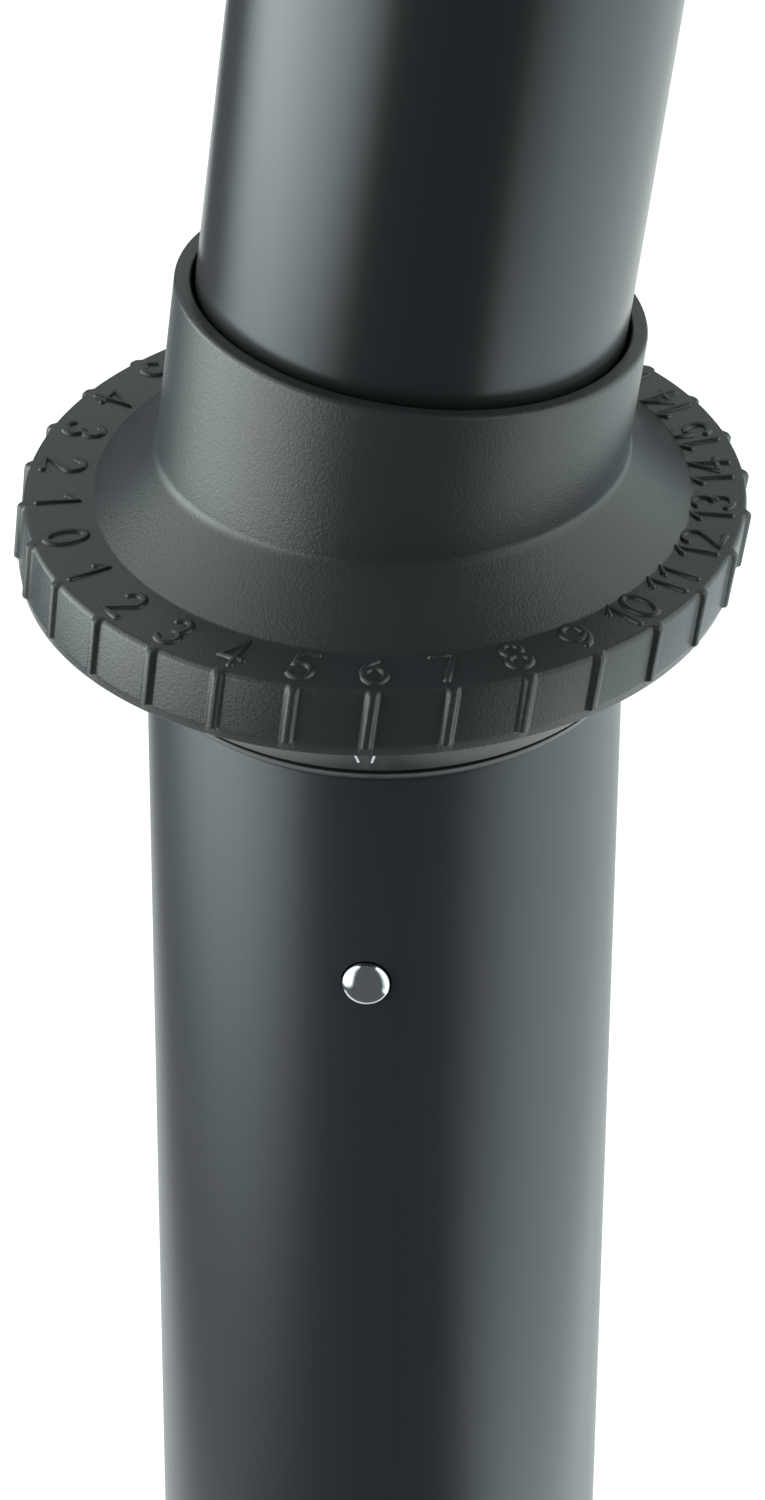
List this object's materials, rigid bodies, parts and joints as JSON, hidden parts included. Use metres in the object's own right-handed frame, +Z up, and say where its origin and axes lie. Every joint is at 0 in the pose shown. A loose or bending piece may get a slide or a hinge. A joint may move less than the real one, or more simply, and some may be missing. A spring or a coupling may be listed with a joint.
{
  "type": "tilting pole connector",
  "caption": "Tilting connector for a stand pole: a socket tube below, a slimmer tube leaning out of a ribbed, numbered dial above it.",
  "frame": {"origin": "centre of the lower tube's open end, where the stand's pole goes in", "axes": "+Z runs up the lower tube's axis; -Y points to the index mark the dial is read against; +X is to the right of the index"},
  "size_m": [0.0645, 0.0601, 0.3088],
  "materials": {
    "powder_coated_steel": "fine black powder coat, semi-matt",
    "satin_coated_steel": "smooth black coat, satin to gloss",
    "grained_nylon": "moulded black glass-filled nylon, fine spark-eroded grain",
    "moulded_nylon": "moulded black nylon, semi-gloss",
    "polished_steel": "polished stainless steel",
    "plated_steel": "bright zinc plate",
    "spring_steel": "oiled spring steel",
    "acetal": "natural acetal"
  },
  "bodies": {
    "base": {"lower_tube": "powder_coated_steel", "wedge_bush": "moulded_nylon", "cross_pin": "polished_steel", "thrust_washer": "acetal", "pivot_bolt": "plated_steel", "disc_spring_1": "spring_steel", "disc_spring_2": "spring_steel", "disc_spring_3": "spring_steel", "disc_spring_4": "spring_steel", "nut_washer": "plated_steel", "lock_nut": "plated_steel"},
    "head": {"spring_seat_washer": "plated_steel", "dial_collar": "grained_nylon", "upper_plug": "moulded_nylon", "upper_tube": "satin_coated_steel", "end_cap": "moulded_nylon", "dial_screw_1": "plated_steel", "dial_screw_2": "plated_steel", "dial_screw_3": "plated_steel", "plug_pin_1": "plated_steel", "plug_pin_2": "plated_steel", "plug_pin_3": "plated_steel"}
  },
  "joints": [
    {"name": "scale_turn", "type": "hinge", "parent": "base", "child": "head", "pos_m": [0, 0, 0.175], "axis": [0, -0.1305, 0.9914], "continuous": true}
  ]
}
